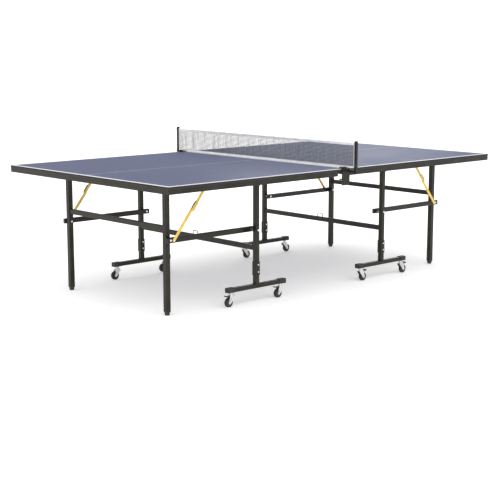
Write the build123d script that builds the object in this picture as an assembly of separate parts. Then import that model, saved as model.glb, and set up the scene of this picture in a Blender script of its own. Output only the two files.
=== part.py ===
from build123d import *
import os
from math import atan2, cos, degrees, dist, radians, sin

# A folding table tennis table in two rolling halves, in millimetres.
# The origin is on the floor under the middle of the net. +X runs along the table, towards half b,
# +Y runs across it and +Z is up. Half a lies on -X. Half b is half a turned half a turn about Z.

# The playing surface
TABLE_LENGTH = 2740
TABLE_WIDTH = 1525
TABLE_HEIGHT = 760
BOARD_THICK = 12
BOARD_CORNER = 4
HALF_GAP = 10
NET_EDGE = HALF_GAP / 2
BOARD_END = TABLE_LENGTH / 2
BOARD_SIDE = TABLE_WIDTH / 2
BOARD_UNDER = TABLE_HEIGHT - BOARD_THICK

# The apron frame under each board. On half a it stops short of the net edge, to leave room for the
# net's clamps, and on half b it runs up to the net edge.
WALL = 1.5
RAIL_WIDTH = 20
RAIL_HEIGHT = 30
RAIL_INSET = 2
NET_STRIP = {"a": 90, "b": RAIL_INSET}
RAIL_UNDER = BOARD_UNDER - RAIL_HEIGHT

# The pivots of the fold: the trolley legs and the end legs both hang on brackets under the board
PIVOT_Z = 692
TROLLEY_X = -550
TROLLEY_Y = 545
END_X = -1150
END_Y = 465
LINK_Z = 425

# Square tubes
END_LEG = 30
TROLLEY_LEG = 28
TUBE_CORNER = 2.5
LEG_ABOVE_PIVOT = 14
BAR_DEPTH = 20
BAR_HEIGHT = 30
END_BAR_Z = 487
TROLLEY_BAR_Z = 320

# The fixings that carry the pivots
BOLT_R = 4
RIVET_R = 3
RUNNING = 0.08
FITTED = 0.02
HEAD_R = 7
HEAD_THICK = 5
SIDE_GAP = 1
PLATE = 3

# The side links and the yellow knee stays, which move in planes of their own beside the legs
LINK_Y = (484, 504)
LINK_PAST_BOLT = 22
STAY_WIDTH = 18
LOWER_Y = (506, 509)
UPPER_Y = (513, 516)
STAY_FOOT = (END_X + 20, LINK_Z)
STAY_HEAD = (END_X + 265, 728)
LOWER_SHARE = 0.5286

# The feet of the end legs
TIP_HEIGHT = 22
TIP_TOP = 23
TIP_BOTTOM = 19
TIP_COLLAR = 3
PLUG_LENGTH = 25

# The trolley's lower end
BEAM_Z = (84, 109)
BEAM_WIDTH = 30
BEAM_LENGTH = 450
CAP_THICK = 2.5
CAP_LENGTH = 45
SLEEVE_Z = (160, 240)
SLEEVE_SIZE = 34
SLEEVE_BOLTS = (180, 222)
TUBE_JOINT_Z = 200

# The casters
CASTER_OFFSET = 195
WHEEL_R = 27.5
WHEEL_WIDTH = 17
TRAIL = 20
FORK_HALF = 13
FORK_CHEEK = 2.5
CROWN_Z = (65, 68)
RACE_TOP = 76
PEDAL_PIVOT = (-12, 61)

# The storage latch: a sprung hook under the board and the wire loop that it holds
LATCH_PIVOT = (TROLLEY_X + 292, PIVOT_Z + 30)
LOOP_RISE = 25
LOOP_HALF = 22
LOOP_WIRE = 2.5
HOOK_Y = (14, 18)

# The net set
NET_HEIGHT = 152.5
NET_PLANE = -7
NET_THICK = 2
NET_BOTTOM = 764
POST_Y = 820
POST_SIZE = 16
POST_TOP = 923
CLAMP_X = (-66, -1)
CLAMP_FOOT = 662
JAW_Z = (692, 698)
KNOB_Z = (665, 680)
CLAMP_SCREW_X = -34
CLAMP_SCREW_Y = 748

SIDES = {"front": -1, "back": 1}


def block(x, y, z):
    """A box between three (low, high) pairs, given in either order."""
    spans = [sorted(span) for span in (x, y, z)]
    middle = [(low + high) / 2 for low, high in spans]
    return Pos(*middle) * Box(*[high - low for low, high in spans])


def about(middle, size):
    """The (low, high) pair of a given size about its middle."""
    return (middle - size / 2, middle + size / 2)


def on_side(side, near, far):
    """The (low, high) pair across the table between two distances from its middle line."""
    return tuple(sorted((side * near, side * far)))


def rod(x, z, y, radius):
    """A round bar across the table, between the two ends of y."""
    return Pos(x, (y[0] + y[1]) / 2, z) * Rot(90, 0, 0) * Cylinder(radius, abs(y[1] - y[0]))


def pillar(x, y, z, radius):
    """An upright round bar between the two ends of z."""
    return Pos(x, y, (z[0] + z[1]) / 2) * Cylinder(radius, z[1] - z[0])


def hexagon(x, z, y, radius):
    """A hexagonal head or nut with its axis across the table."""
    low, high = sorted(y)
    face = Plane((x, high, z), x_dir=(1, 0, 0), z_dir=(0, -1, 0)) * RegularPolygon(radius, 6)
    return extrude(face, high - low)


def tube(x, y, z, along, wall=WALL, corner=TUBE_CORNER):
    """A rounded square tube between three (low, high) pairs, hollow along the named axis."""
    axes = {"x": Axis.X, "y": Axis.Y, "z": Axis.Z}
    spans = {"x": sorted(x), "y": sorted(y), "z": sorted(z)}
    inner = {
        name: span if name == along else (span[0] + wall, span[1] - wall)
        for name, span in spans.items()
    }
    body = block(**spans)
    body = fillet(body.edges().filter_by(axes[along]), corner)
    return body - block(**inner)


def flat_bar(start, end, y, width):
    """A flat bar with round ends about two (x, z) points, lying between the two ends of y."""
    low, high = sorted(y)
    run = (end[0] - start[0], end[1] - start[1])
    middle = ((start[0] + end[0]) / 2, high, (start[1] + end[1]) / 2)
    plane = Plane(middle, x_dir=(run[0], 0, run[1]), z_dir=(0, -1, 0))
    return extrude(plane * SlotCenterToCenter(dist(start, end), width), high - low)


def outline(points, y):
    """A plate cut to a list of (x, z) points, lying between the two ends of y."""
    low, high = sorted(y)
    plane = Plane((0, high, 0), x_dir=(1, 0, 0), z_dir=(0, -1, 0))
    return extrude(plane * Polygon(*points, align=None), high - low, dir=(0, -1, 0))


def group(pieces):
    """One node made of separate solids."""
    return Compound([solid for piece in pieces for solid in piece.solids()])


def both_sides(make):
    """A node with the same piece on the front and the back of the table."""
    return group([make(side) for side in SIDES.values()])


def tabletop():
    board = block(
        (-BOARD_END, -NET_EDGE), (-BOARD_SIDE, BOARD_SIDE), (BOARD_UNDER, TABLE_HEIGHT)
    )
    board = fillet(board.edges().filter_by(Axis.Z), BOARD_CORNER)
    return chamfer(board.faces().sort_by(Axis.Z)[-1].edges(), 0.5)


def apron_ring(strip, inset, width, z):
    """Four mitred bars around the frame. inset is measured inwards from the rails' outer faces."""

    def corners(offset):
        low = -BOARD_END + RAIL_INSET + offset
        high = -NET_EDGE - strip - offset
        side = BOARD_SIDE - RAIL_INSET - offset
        return [(low, -side), (high, -side), (high, side), (low, side)]

    outer = corners(inset)
    inner = corners(inset + width)
    bars = []
    for here in range(4):
        after = (here + 1) % 4
        shape = Polygon(outer[here], outer[after], inner[after], inner[here], align=None)
        bars.append(Pos(0, 0, z[0]) * extrude(shape, z[1] - z[0], dir=(0, 0, 1)))
    return bars


def apron_rails(strip):
    """Channels open at the top, where the board closes them, mitred at the corners."""
    solid_bars = apron_ring(strip, 0, RAIL_WIDTH, (RAIL_UNDER, BOARD_UNDER))
    hollows = apron_ring(strip, WALL, RAIL_WIDTH - 2 * WALL, (RAIL_UNDER + WALL, BOARD_UNDER))
    return group([bar - hollow for bar, hollow in zip(solid_bars, hollows)])


def leg_bracket(x, y, leg_size):
    """A bracket under the board whose two cheeks stand beside a leg."""
    cheek_near = leg_size / 2 + SIDE_GAP
    cheek_far = cheek_near + PLATE
    bracket = block(about(x, 64), about(y, 2 * cheek_far + 14), (BOARD_UNDER - PLATE, BOARD_UNDER))
    for way in (-1, 1):
        span = (y + way * cheek_near, y + way * cheek_far)
        cheek = block(about(x, 30), span, (PIVOT_Z, BOARD_UNDER - PLATE))
        bracket += cheek + rod(x, PIVOT_Z, span, 15)
    return bracket - rod(x, PIVOT_Z, about(y, 4 * leg_size), BOLT_R + FITTED)


def stay_bracket(side):
    """A single cheek outside the upper stay, with its base plate under the board."""
    x, z = STAY_HEAD
    span = on_side(side, UPPER_Y[1] + SIDE_GAP, UPPER_Y[1] + SIDE_GAP + PLATE)
    base = block(about(x, 44), on_side(side, 509, 531), (BOARD_UNDER - PLATE, BOARD_UNDER))
    cheek = block(about(x, 20), span, (z, BOARD_UNDER - PLATE)) + rod(x, z, span, 10)
    return base + cheek - rod(x, z, span, RIVET_R + FITTED)


def latch_bracket():
    x, z = LATCH_PIVOT
    bracket = block(about(x, 44), (-32, 32), (BOARD_UNDER - PLATE, BOARD_UNDER))
    for side in SIDES.values():
        span = on_side(side, HOOK_Y[1] + 2, HOOK_Y[1] + 2 + PLATE)
        bracket += block(about(x, 16), span, (z, BOARD_UNDER - PLATE)) + rod(x, z, span, 8)
        bracket -= rod(x, z, span, RIVET_R + FITTED)
    return bracket


def pivot_brackets():
    pieces = [latch_bracket()]
    for side in SIDES.values():
        pieces.append(leg_bracket(TROLLEY_X, side * TROLLEY_Y, TROLLEY_LEG))
        pieces.append(leg_bracket(END_X, side * END_Y, END_LEG))
        pieces.append(stay_bracket(side))
    return group(pieces)


def pivot_bolt(x, side, leg_y, leg_size):
    reach = leg_size / 2 + SIDE_GAP + PLATE
    inner, outer = leg_y - reach, leg_y + reach
    shank = rod(x, PIVOT_Z, on_side(side, inner, outer), BOLT_R)
    head = hexagon(x, PIVOT_Z, on_side(side, outer, outer + HEAD_THICK), HEAD_R)
    return shank + head + hexagon(x, PIVOT_Z, on_side(side, inner - HEAD_THICK, inner), HEAD_R)


def stay_rivet(side):
    """A rivet through the bracket and the upper stay, with a flat head on the stay's inner side."""
    x, z = STAY_HEAD
    inner = UPPER_Y[0] - 0.5
    outer = UPPER_Y[1] + SIDE_GAP + PLATE
    shank = rod(x, z, on_side(side, inner, outer), RIVET_R)
    heads = rod(x, z, on_side(side, inner - 2, inner), 6) + rod(x, z, on_side(side, outer, outer + 2), 6)
    return shank + heads


def latch_pin():
    x, z = LATCH_PIVOT
    reach = HOOK_Y[1] + 2 + PLATE
    pin = rod(x, z, (-reach, reach), RIVET_R)
    for side in SIDES.values():
        pin += rod(x, z, on_side(side, reach, reach + 2), RIVET_R + 2)
    return pin


def pivot_bolts():
    pieces = [latch_pin()]
    for side in SIDES.values():
        pieces.append(pivot_bolt(TROLLEY_X, side, TROLLEY_Y, TROLLEY_LEG))
        pieces.append(pivot_bolt(END_X, side, END_Y, END_LEG))
        pieces.append(stay_rivet(side))
    return group(pieces)


def storage_latch():
    """A hook with two cheeks and a cross web, hung on the latch bracket's pin."""
    x, z = LATCH_PIVOT
    bar_x = TROLLEY_X + PIVOT_Z - TROLLEY_BAR_Z - BAR_HEIGHT / 2 - LOOP_RISE + LOOP_WIRE
    foot_top = PIVOT_Z - LOOP_WIRE - SIDE_GAP
    limb = bar_x - LOOP_WIRE - SIDE_GAP
    points = [
        (x - 8, z),
        (x + 8, z),
        (limb, foot_top + 6),
        (limb, foot_top),
        (bar_x + 12, foot_top),
        (bar_x + 9, foot_top - 8),
        (limb - 14, foot_top - 8),
    ]
    latch = block((x + 6, x + 9), (-HOOK_Y[1], HOOK_Y[1]), (foot_top + 8, z - 9))
    latch += block((x - 22, x - 4), (-HOOK_Y[1], HOOK_Y[1]), (foot_top - 4, foot_top - 1))
    for side in SIDES.values():
        span = on_side(side, *HOOK_Y)
        handle = outline([(x - 8, z), (x - 22, foot_top - 4), (limb - 14, foot_top - 8)], span)
        latch += outline(points, span) + rod(x, z, span, 8) + handle
    return latch - rod(x, z, (-HOOK_Y[1], HOOK_Y[1]), RIVET_R + RUNNING)


def end_legs():
    def leg(side):
        y = side * END_Y
        span = (TIP_HEIGHT, PIVOT_Z + LEG_ABOVE_PIVOT)
        body = tube(about(END_X, END_LEG), about(y, END_LEG), span, "z")
        for z in (PIVOT_Z, LINK_Z):
            body -= rod(END_X, z, about(y, 2 * END_LEG), BOLT_R + RUNNING)
        return body

    return both_sides(leg)


def end_crossbar():
    reach = END_Y - END_LEG / 2
    return tube(about(END_X, BAR_DEPTH), (-reach, reach), about(END_BAR_Z, BAR_HEIGHT), "y")


def foot_tips():
    """Tapered plastic feet with a collar under the leg and a plug that fits up inside it."""

    def tip(side):
        y = side * END_Y
        collar_z = (TIP_HEIGHT - TIP_COLLAR, TIP_HEIGHT)
        top = Plane((END_X, y, collar_z[0])) * Rectangle(TIP_TOP, TIP_TOP)
        bottom = Plane((END_X, y, 0)) * Rectangle(TIP_BOTTOM, TIP_BOTTOM)
        toe = loft([bottom, top])
        collar = block(about(END_X, END_LEG - 1), about(y, END_LEG - 1), collar_z)
        plug = END_LEG - 2 * WALL - 0.2
        span = (TIP_HEIGHT, TIP_HEIGHT + PLUG_LENGTH)
        return toe + collar + block(about(END_X, plug), about(y, plug), span)

    return both_sides(tip)


def trolley_legs():
    def leg(side):
        y = side * TROLLEY_Y
        span = (TUBE_JOINT_Z, PIVOT_Z + LEG_ABOVE_PIVOT)
        body = tube(about(TROLLEY_X, TROLLEY_LEG), about(y, TROLLEY_LEG), span, "z")
        for z in (PIVOT_Z, LINK_Z):
            body -= rod(TROLLEY_X, z, about(y, 2 * TROLLEY_LEG), BOLT_R + RUNNING)
        return body - rod(TROLLEY_X, SLEEVE_BOLTS[1], about(y, 2 * TROLLEY_LEG), RIVET_R + FITTED)

    return both_sides(leg)


def trolley_crossbar():
    """The bar between the trolley legs, with the latch's wire loop welded on top."""
    reach = TROLLEY_Y - TROLLEY_LEG / 2
    bar = tube(
        about(TROLLEY_X, BAR_DEPTH), (-reach, reach), about(TROLLEY_BAR_Z, BAR_HEIGHT), "y"
    )
    foot = TROLLEY_BAR_Z + BAR_HEIGHT / 2 - WALL / 2
    top = TROLLEY_BAR_Z + BAR_HEIGHT / 2 + LOOP_RISE - LOOP_WIRE
    path = FilletPolyline(
        (TROLLEY_X, -LOOP_HALF, foot),
        (TROLLEY_X, -LOOP_HALF, top),
        (TROLLEY_X, LOOP_HALF, top),
        (TROLLEY_X, LOOP_HALF, foot),
        radius=3 * LOOP_WIRE,
    )
    wire = sweep(Plane(path @ 0, z_dir=path % 0) * Circle(LOOP_WIRE), path=path)
    return bar + wire


def leg_sleeves():
    """Sleeves that join each trolley leg to the stub on its caster beam."""

    def sleeve(side):
        y = side * TROLLEY_Y
        wall = (SLEEVE_SIZE - TROLLEY_LEG) / 2 - 0.1
        body = tube(
            about(TROLLEY_X, SLEEVE_SIZE), about(y, SLEEVE_SIZE), SLEEVE_Z, "z", wall, 4
        )
        for z in SLEEVE_BOLTS:
            body -= rod(TROLLEY_X, z, about(y, 2 * SLEEVE_SIZE), RIVET_R + FITTED)
        return body

    return both_sides(sleeve)


def trolley_hardware():
    """The sleeves' bolts and the casters' fixed stems with their nuts."""

    def sleeve_bolt(side, z):
        inner, outer = TROLLEY_Y - SLEEVE_SIZE / 2, TROLLEY_Y + SLEEVE_SIZE / 2
        shank = rod(TROLLEY_X, z, on_side(side, inner, outer), RIVET_R)
        head = hexagon(TROLLEY_X, z, on_side(side, outer, outer + 4), 5.5)
        return shank + head + hexagon(TROLLEY_X, z, on_side(side, inner - 4, inner), 5.5)

    def stem(side, x):
        y = side * TROLLEY_Y
        body = pillar(x, y, (CROWN_Z[0] - 0.5, BEAM_Z[0] + WALL + 8), BOLT_R)
        body += pillar(x, y, (CROWN_Z[0] - 3, CROWN_Z[0] - 0.5), HEAD_R)
        body += pillar(x, y, (RACE_TOP + 0.5, BEAM_Z[0]), 12)
        return body + pillar(x, y, (BEAM_Z[0] + WALL, BEAM_Z[0] + WALL + 6), HEAD_R)

    pieces = []
    for side in SIDES.values():
        pieces += [sleeve_bolt(side, z) for z in SLEEVE_BOLTS]
        pieces += [stem(side, TROLLEY_X + way * CASTER_OFFSET) for way in (-1, 1)]
    return group(pieces)


def caster_beams():
    """A beam with an upright stub welded to its middle, one under each trolley leg."""

    def beam(side):
        y = side * TROLLEY_Y
        body = tube(about(TROLLEY_X, BEAM_LENGTH), about(y, BEAM_WIDTH), BEAM_Z, "x")
        stub = tube(
            about(TROLLEY_X, TROLLEY_LEG),
            about(y, TROLLEY_LEG),
            (BEAM_Z[1] - WALL / 2, TUBE_JOINT_Z - 0.5),
            "z",
        )
        stub -= rod(TROLLEY_X, SLEEVE_BOLTS[0], about(y, 2 * TROLLEY_LEG), RIVET_R + FITTED)
        for way in (-1, 1):
            x = TROLLEY_X + way * CASTER_OFFSET
            body -= pillar(x, y, about(BEAM_Z[0], 4 * WALL), BOLT_R + FITTED)
        return body + stub

    return both_sides(beam)


def beam_caps():
    """Plastic caps that slide over the beams' ends and wrap their top and sides."""
    pieces = []
    for side in SIDES.values():
        y = side * TROLLEY_Y
        for way in (-1, 1):
            end = TROLLEY_X + way * BEAM_LENGTH / 2
            reach = (end - way * CAP_LENGTH, end + way * CAP_THICK)
            outer = block(reach, about(y, BEAM_WIDTH + 2 * CAP_THICK), (BEAM_Z[0], BEAM_Z[1] + CAP_THICK))
            outer = fillet(outer.edges().filter_by(Axis.X).group_by(Axis.Z)[-1], TUBE_CORNER)
            beam = block((end - way * 2 * CAP_LENGTH, end), about(y, BEAM_WIDTH), (0, BEAM_Z[1]))
            pieces.append(outer - beam)
    return group(pieces)


def side_links():
    """The link tubes that keep the end legs parallel to the trolley legs, plugged at both ends."""
    start, end = END_X - LINK_PAST_BOLT, TROLLEY_X + LINK_PAST_BOLT
    pieces = []
    for side in SIDES.values():
        across = on_side(side, *LINK_Y)
        link = tube((start, end), across, about(LINK_Z, BAR_HEIGHT), "x")
        for x in (END_X, TROLLEY_X):
            link -= rod(x, LINK_Z, across, BOLT_R + FITTED)
        outer_wall = on_side(side, LINK_Y[1] - 2 * WALL, LINK_Y[1])
        pieces.append(link - rod(*STAY_FOOT, outer_wall, RIVET_R + FITTED))
        hollow = on_side(side, LINK_Y[0] + WALL + 0.1, LINK_Y[1] - WALL - 0.1)
        for plug in ((start, start + 10), (end - 10, end)):
            pieces.append(block(plug, hollow, about(LINK_Z, BAR_HEIGHT - 2 * WALL - 0.2)))
    return group(pieces)


def link_bolts():
    """The bolts at both ends of the links, and the shouldered rivets that carry the lower stays."""
    pieces = []
    for side in SIDES.values():
        leg_in, leg_out = END_Y - END_LEG / 2, END_Y + END_LEG / 2
        bolt = rod(END_X, LINK_Z, on_side(side, leg_in - 0.5, LINK_Y[1]), BOLT_R)
        bolt += hexagon(END_X, LINK_Z, on_side(side, leg_in - 0.5 - HEAD_THICK, leg_in - 0.5), HEAD_R)
        bolt += rod(END_X, LINK_Z, on_side(side, leg_out + 0.5, LINK_Y[0]), HEAD_R)
        pieces.append(bolt + hexagon(END_X, LINK_Z, on_side(side, LINK_Y[1], LINK_Y[1] + 1.5), HEAD_R))

        leg_in, leg_out = TROLLEY_Y - TROLLEY_LEG / 2, TROLLEY_Y + TROLLEY_LEG / 2
        bolt = rod(TROLLEY_X, LINK_Z, on_side(side, LINK_Y[0], leg_out + 0.5), BOLT_R)
        bolt += rod(TROLLEY_X, LINK_Z, on_side(side, LINK_Y[1], leg_in - 0.5), HEAD_R)
        bolt += hexagon(TROLLEY_X, LINK_Z, on_side(side, LINK_Y[0] - 3, LINK_Y[0]), HEAD_R)
        head = on_side(side, leg_out + 0.5, leg_out + 0.5 + HEAD_THICK)
        pieces.append(bolt + hexagon(TROLLEY_X, LINK_Z, head, HEAD_R))

        x, z = STAY_FOOT
        rivet = rod(x, z, on_side(side, LINK_Y[1] - 2 * WALL, LOWER_Y[1] + 0.5), RIVET_R)
        rivet += rod(x, z, on_side(side, LINK_Y[1], LOWER_Y[0] - 0.5), 6)
        pieces.append(rivet + rod(x, z, on_side(side, LOWER_Y[1] + 0.5, LOWER_Y[1] + 2.5), 6))
    return group(pieces)


def knee():
    """The stays' knee, on the straight line between their two ends."""
    return tuple(
        foot + LOWER_SHARE * (head - foot) for foot, head in zip(STAY_FOOT, STAY_HEAD)
    )


def stay_lowers():
    def stay(side):
        bar = flat_bar(STAY_FOOT, knee(), on_side(side, *LOWER_Y), STAY_WIDTH)
        bar -= rod(*STAY_FOOT, on_side(side, *LOWER_Y), RIVET_R + RUNNING)
        return bar + rod(*knee(), on_side(side, LOWER_Y[1], UPPER_Y[0] - 0.5), 7)

    return both_sides(stay)


def stay_uppers():
    """The upper stay, with the knee's rivet head and the lock clip on its outer face."""

    def stay(side):
        bar = flat_bar(knee(), STAY_HEAD, on_side(side, *UPPER_Y), STAY_WIDTH)
        bar -= rod(*STAY_HEAD, on_side(side, *UPPER_Y), RIVET_R + RUNNING)
        angle = atan2(STAY_HEAD[1] - STAY_FOOT[1], STAY_HEAD[0] - STAY_FOOT[0])
        clip_end = (knee()[0] + 42 * cos(angle), knee()[1] + 42 * sin(angle))
        clip = flat_bar(knee(), clip_end, on_side(side, UPPER_Y[1], UPPER_Y[1] + 1.5), STAY_WIDTH + 5)
        head = rod(*knee(), on_side(side, UPPER_Y[1] + 1.5, UPPER_Y[1] + 3), 7)
        return bar + clip + head

    return both_sides(stay)


def caster_fork():
    """A swivelling fork with its stem's axis at the origin and its wheel trailing towards -X."""
    fork = block((-16, 16), (-FORK_HALF, FORK_HALF), CROWN_Z)
    fork += pillar(0, 0, (CROWN_Z[1], RACE_TOP - 3), 14) + pillar(0, 0, (RACE_TOP - 3, RACE_TOP), 11)
    cheek = [(-16, CROWN_Z[1]), (16, CROWN_Z[1]), (16, 59), (-12, 22), (-29, 28)]
    for side in SIDES.values():
        span = on_side(side, FORK_HALF - FORK_CHEEK, FORK_HALF)
        fork += outline(cheek, span) + rod(-TRAIL, WHEEL_R, span, 9)
        fork += rod(-TRAIL, WHEEL_R, on_side(side, FORK_HALF, FORK_HALF + 2), 6)
    fork += rod(-TRAIL, WHEEL_R, (-FORK_HALF, FORK_HALF), BOLT_R)
    fork += rod(*PEDAL_PIVOT, (-FORK_HALF, FORK_HALF), 2)
    return fork - pillar(0, 0, (CROWN_Z[0] - 1, RACE_TOP + 1), BOLT_R + RUNNING)


def caster_wheel():
    """A solid tyre on a wide hub, on the fork's axle."""
    wheel = rod(-TRAIL, WHEEL_R, about(0, WHEEL_WIDTH), WHEEL_R)
    wheel = fillet(wheel.edges(), 3)
    for side in SIDES.values():
        recess = on_side(side, WHEEL_WIDTH / 2 - 2, WHEEL_WIDTH / 2 + 1)
        wheel -= rod(-TRAIL, WHEEL_R, recess, 17)
        wheel += rod(-TRAIL, WHEEL_R, on_side(side, WHEEL_WIDTH / 2 - 2, WHEEL_WIDTH / 2 + 1), 8)
    return wheel - rod(-TRAIL, WHEEL_R, about(0, 2 * WHEEL_WIDTH), BOLT_R + RUNNING)


def brake_pedal():
    """A foot pedal whose shoe comes down on the wheel when its outer end is pressed."""
    x, z = PEDAL_PIVOT
    lever = [(x, 64.5), (-30, 65.5), (-34, 66), (-34, 62), (-26, 57.4), (-21, 57.4), (x, 57.5)]
    pedal = outline(lever, about(0, 19)) + rod(x, z, about(0, 19), 3.5)
    pedal += outline([(-32, 66), (-45, 70), (-46, 63.5), (-33, 62.5)], about(0, 26))
    return pedal - rod(x, z, about(0, 20), 2 + RUNNING)


def net_posts():
    """The net's two posts, each in one piece with its clamp."""

    def post(side):
        arm_x = about(NET_PLANE, POST_SIZE)
        side_plate = (BOARD_SIDE + 1, BOARD_SIDE + 5)
        body = block(CLAMP_X, on_side(side, BOARD_SIDE - 32, side_plate[1]), (TABLE_HEIGHT, 763))
        body += block(CLAMP_X, on_side(side, *side_plate), (CLAMP_FOOT, 763))
        hook_x = (CLAMP_X[0], CLAMP_X[0] + 38)
        hook = block(hook_x, on_side(side, BOARD_SIDE - 20, side_plate[1]), (TABLE_HEIGHT, 771))
        body += fillet(hook.edges().filter_by(Axis.Y).group_by(Axis.Z)[-1], 3)
        body += block((-52, -16), on_side(side, BOARD_SIDE - 32, side_plate[1]), JAW_Z)
        body += block(arm_x, on_side(side, side_plate[0], POST_Y), (738, 752))
        upright = block(arm_x, about(side * POST_Y, POST_SIZE), (730, POST_TOP))
        body += fillet(upright.edges().filter_by(Axis.Z), 2)
        screw_z = (JAW_Z[0] - 1, JAW_Z[1] + 1)
        hole = pillar(CLAMP_SCREW_X, side * CLAMP_SCREW_Y, screw_z, BOLT_R + RUNNING)
        return body - hole

    return both_sides(post)


def clamp_screw(side):
    """A clamp screw with its pressure pad just under the board and its knob below the clamp."""
    x, y = CLAMP_SCREW_X, side * CLAMP_SCREW_Y
    screw = pillar(x, y, (KNOB_Z[1] - 4, BOARD_UNDER - 3), BOLT_R)
    screw += pillar(x, y, (BOARD_UNDER - 3.5, BOARD_UNDER - 0.3), 9)
    return screw + fillet(pillar(x, y, KNOB_Z, 13).edges(), 2)


def net():
    """The net as a thin panel that hangs between the posts."""
    reach = POST_Y - POST_SIZE / 2
    return block(
        about(NET_PLANE, NET_THICK), (-reach, reach), (NET_BOTTOM, TABLE_HEIGHT + NET_HEIGHT)
    )


def write(shape, name):
    export_step(shape, f"parts/{name}.step")


def as_half(shape, half):
    """Half b is half a turned about the upright axis through the origin."""
    return shape if half == "a" else Rot(0, 0, 180) * shape


os.makedirs("parts", exist_ok=True)

PAIRED = {
    "tabletop": tabletop(),
    "pivot_brackets": pivot_brackets(),
    "pivot_bolts": pivot_bolts(),
    "storage_latch": storage_latch(),
    "end_legs": end_legs(),
    "end_crossbar": end_crossbar(),
    "foot_tips": foot_tips(),
    "trolley_legs": trolley_legs(),
    "trolley_crossbar": trolley_crossbar(),
    "leg_sleeves": leg_sleeves(),
    "trolley_hardware": trolley_hardware(),
    "caster_beams": caster_beams(),
    "beam_caps": beam_caps(),
    "side_links": side_links(),
    "link_bolts": link_bolts(),
    "stay_uppers": stay_uppers(),
    "stay_lowers": stay_lowers(),
}
FORK = caster_fork()
WHEEL = caster_wheel()
PEDAL = brake_pedal()

for half in ("a", "b"):
    write(as_half(apron_rails(NET_STRIP[half]), half), f"apron_rails_{half}")
    for name, shape in PAIRED.items():
        write(as_half(shape, half), f"{name}_{half}")
    outwards = -1 if half == "a" else 1
    for side_name, side in SIDES.items():
        for end_name, way in (("end", outwards), ("net", -outwards)):
            x = -outwards * TROLLEY_X + way * CASTER_OFFSET
            place = Pos(x, side * TROLLEY_Y, 0) * Rot(0, 0, 0 if half == "a" else 180)
            write(place * FORK, f"caster_fork_{half}_{side_name}_{end_name}")
            write(place * WHEEL, f"caster_wheel_{half}_{side_name}_{end_name}")
            if side_name == "front":
                write(place * PEDAL, f"brake_pedal_{half}_{end_name}")

write(net_posts(), "net_posts")
write(net(), "net")
for side_name, side in SIDES.items():
    write(clamp_screw(side), f"clamp_screw_{side_name}")
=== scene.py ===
# %% [markdown]
# # A folding table tennis table
# The real table is two rolling halves with painted boards, powder coated steel legs, yellow knee
# stays and a clamped net. The CAD frame already holds every rigid part at its true size, so this
# lesson gives each of them its finish, and remakes in Blender the parts that CAD leaves plain:
# the net and its tapes, the caster wheels, the clamp screws, the welds and the small fixings.

# %% Load the frame
import random
from math import cos, pi, radians, sin, tau

import bmesh
import bpy
from mathutils import Matrix, Vector


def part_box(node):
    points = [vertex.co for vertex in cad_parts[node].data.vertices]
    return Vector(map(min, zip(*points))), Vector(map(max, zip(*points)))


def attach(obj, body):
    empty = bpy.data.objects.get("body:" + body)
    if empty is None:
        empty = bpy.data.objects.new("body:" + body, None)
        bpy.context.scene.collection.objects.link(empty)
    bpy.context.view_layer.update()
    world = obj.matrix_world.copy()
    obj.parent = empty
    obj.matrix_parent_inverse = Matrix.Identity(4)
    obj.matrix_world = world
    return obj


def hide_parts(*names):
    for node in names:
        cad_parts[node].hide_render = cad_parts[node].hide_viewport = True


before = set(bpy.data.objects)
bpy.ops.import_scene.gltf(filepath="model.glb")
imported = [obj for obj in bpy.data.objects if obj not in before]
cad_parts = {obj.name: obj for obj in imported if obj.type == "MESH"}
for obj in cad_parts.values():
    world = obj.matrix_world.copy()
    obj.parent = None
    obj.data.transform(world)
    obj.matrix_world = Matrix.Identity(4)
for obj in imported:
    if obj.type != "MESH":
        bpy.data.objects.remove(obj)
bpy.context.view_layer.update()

# %% [markdown]
# ## Camera
# The table is seen from its front left corner, from a little above the boards. A wide lens close
# by would make the far half look small, so a long lens from over seven metres away is used, which
# keeps the two halves nearly the same size.

# %% Camera
CAMERA_PLACE = (-5.14, -5.46, 1.49)
CAMERA_TILT = radians(80.02)
CAMERA_TURN = radians(-42.74)
FOCAL_LENGTH_MM = 84.8
SENSOR_MM = 36

scene = bpy.context.scene
lens = bpy.data.cameras.new("camera")
lens.lens = FOCAL_LENGTH_MM
lens.sensor_width = SENSOR_MM
camera = bpy.data.objects.new("camera", lens)
camera.location = CAMERA_PLACE
camera.rotation_euler = (CAMERA_TILT, 0, CAMERA_TURN)
scene.collection.objects.link(camera)
scene.camera = camera
print("camera is", round(camera.location.length, 2), "m from the middle of the table")

# %% [markdown]
# ## Studio
# A product studio is lit so brightly from all around that its paper sweep burns out to pure
# white. The world does that here: what the camera sees of it is full white, while the light that
# it throws is softer, so that black steel stays black. A very wide sun stands for the bank of
# ceiling lamps, and one large lamp beyond the far half leaves a sheen on the boards there.

# %% World
LIGHT_FROM_ALL_SIDES = 0.62
BACKDROP_SEEN = 1.05
WHITE = (1, 1, 1, 1)

scene.view_settings.view_transform = "Standard"
world = bpy.data.worlds.new("studio")
world.use_nodes = True
sky = world.node_tree
background = sky.nodes["Background"]
ray = sky.nodes.new("ShaderNodeLightPath")
brightness = sky.nodes.new("ShaderNodeMapRange")
brightness.inputs["To Min"].default_value = LIGHT_FROM_ALL_SIDES
brightness.inputs["To Max"].default_value = BACKDROP_SEEN
sky.links.new(ray.outputs["Is Camera Ray"], brightness.inputs["Value"])
sky.links.new(brightness.outputs[0], background.inputs["Strength"])
background.inputs["Color"].default_value = WHITE
scene.world = world
print("world throws", LIGHT_FROM_ALL_SIDES, "and shows", BACKDROP_SEEN)


# %% Lamps
CEILING_STRENGTH = 2.0
CEILING_WIDTH = radians(100)
SHEEN_WATTS = 30
SHEEN_SIZE = 2.4


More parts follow.
